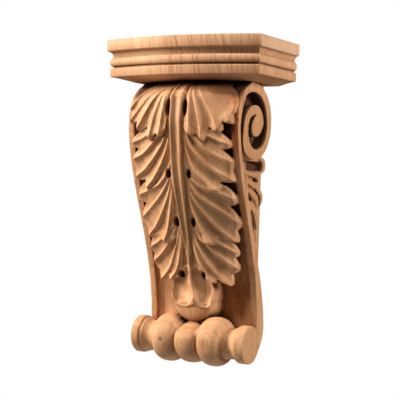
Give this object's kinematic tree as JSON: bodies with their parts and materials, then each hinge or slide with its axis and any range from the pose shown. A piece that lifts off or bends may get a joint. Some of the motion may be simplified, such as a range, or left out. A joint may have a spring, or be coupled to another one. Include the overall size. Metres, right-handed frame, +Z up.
{
  "type": "carved wooden corbel capital",
  "caption": "Carved wooden bracket capital: bowed, moulded top board on an S-scroll console with side volutes, an acanthus leaf down the front and a turned roll at the foot.",
  "frame": {"origin": "middle of the console's flat back, on the plane of symmetry, at the height where it is fixed to the wall", "axes": "+Z up, -Y out from the wall towards the front of the leaf, X across; the back lies in the plane Y = 0"},
  "size_m": [0.181, 0.103, 0.336],
  "materials": {
    "console_wood": "bare sanded beech, unfinished, with upright grain and end-grain flecks on the leaf and the roll",
    "board_wood": "bare sanded beech, unfinished, with fine streaks of grain on the front and a paler end face"
  },
  "bodies": {
    "root": {"abacus": "board_wood", "console": "console_wood"}
  },
  "joints": []
}
